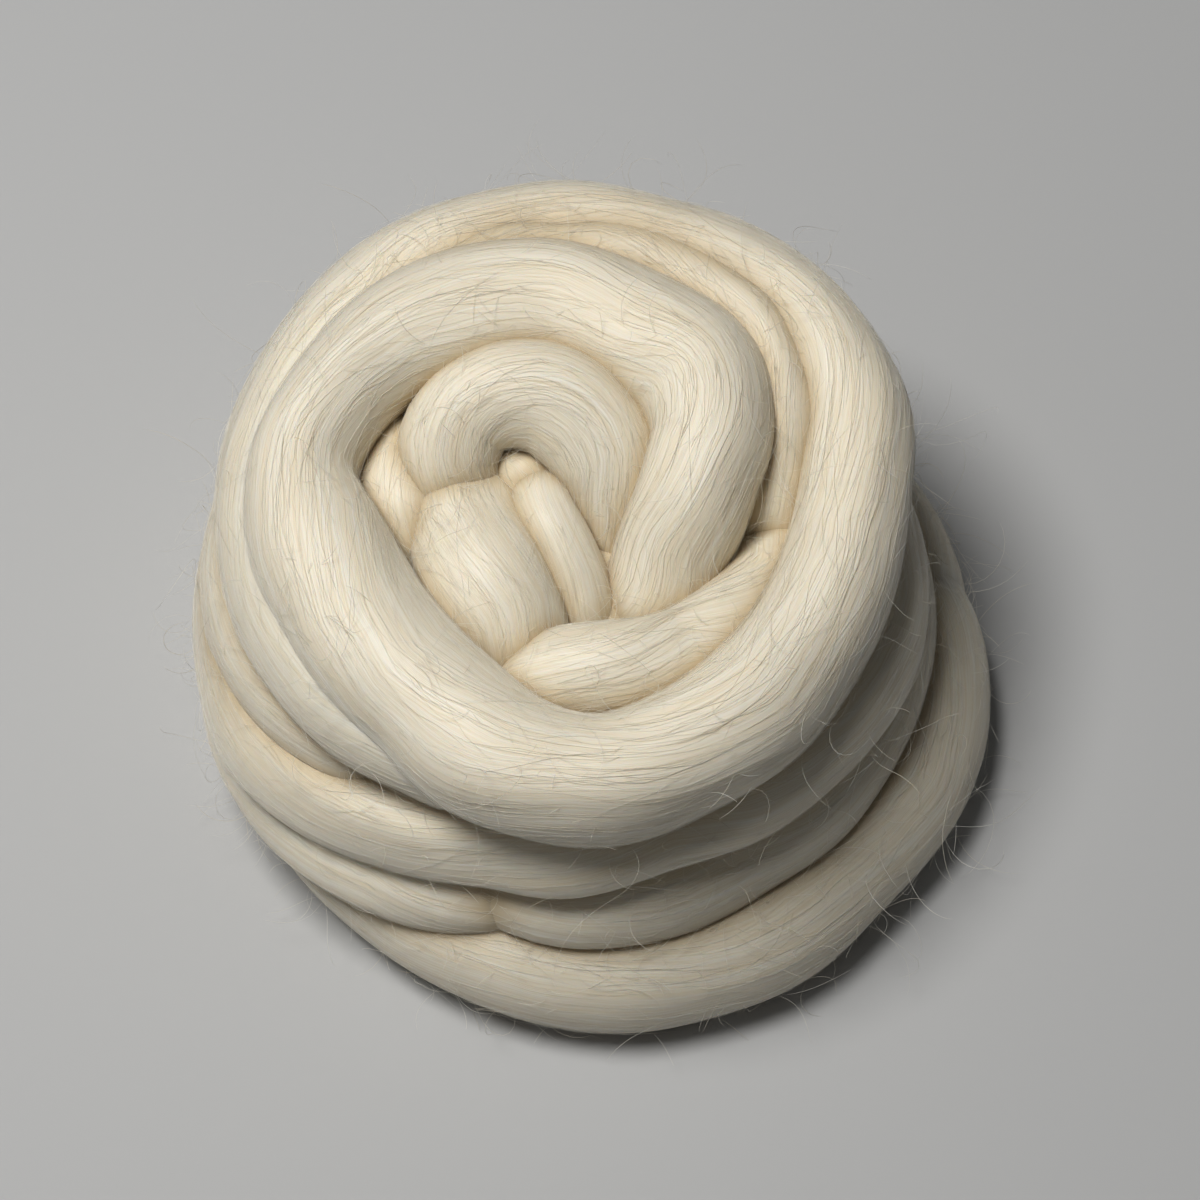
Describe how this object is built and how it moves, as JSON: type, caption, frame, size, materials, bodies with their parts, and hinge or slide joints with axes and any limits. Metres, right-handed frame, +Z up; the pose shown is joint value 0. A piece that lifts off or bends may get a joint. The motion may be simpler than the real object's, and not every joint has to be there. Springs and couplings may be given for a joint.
{
  "type": "wool roving",
  "caption": "Soft combed wool strand wound into a round mound, with a wide rim turn round a hollow filled by folded loops.",
  "frame": {"origin": "middle of the footprint, on the surface the mound rests on", "axes": "+Z up, through the hollow of the winding; the front of the mound, with its stepped lower turns, faces -Y"},
  "size_m": [0.1562, 0.1516, 0.0865],
  "materials": {
    "wool": "undyed cream combed wool, aligned fine fibres with a soft satin sheen and warm shadows in the folds"
  },
  "bodies": {
    "root": {"roving_coil": "wool"}
  },
  "joints": []
}
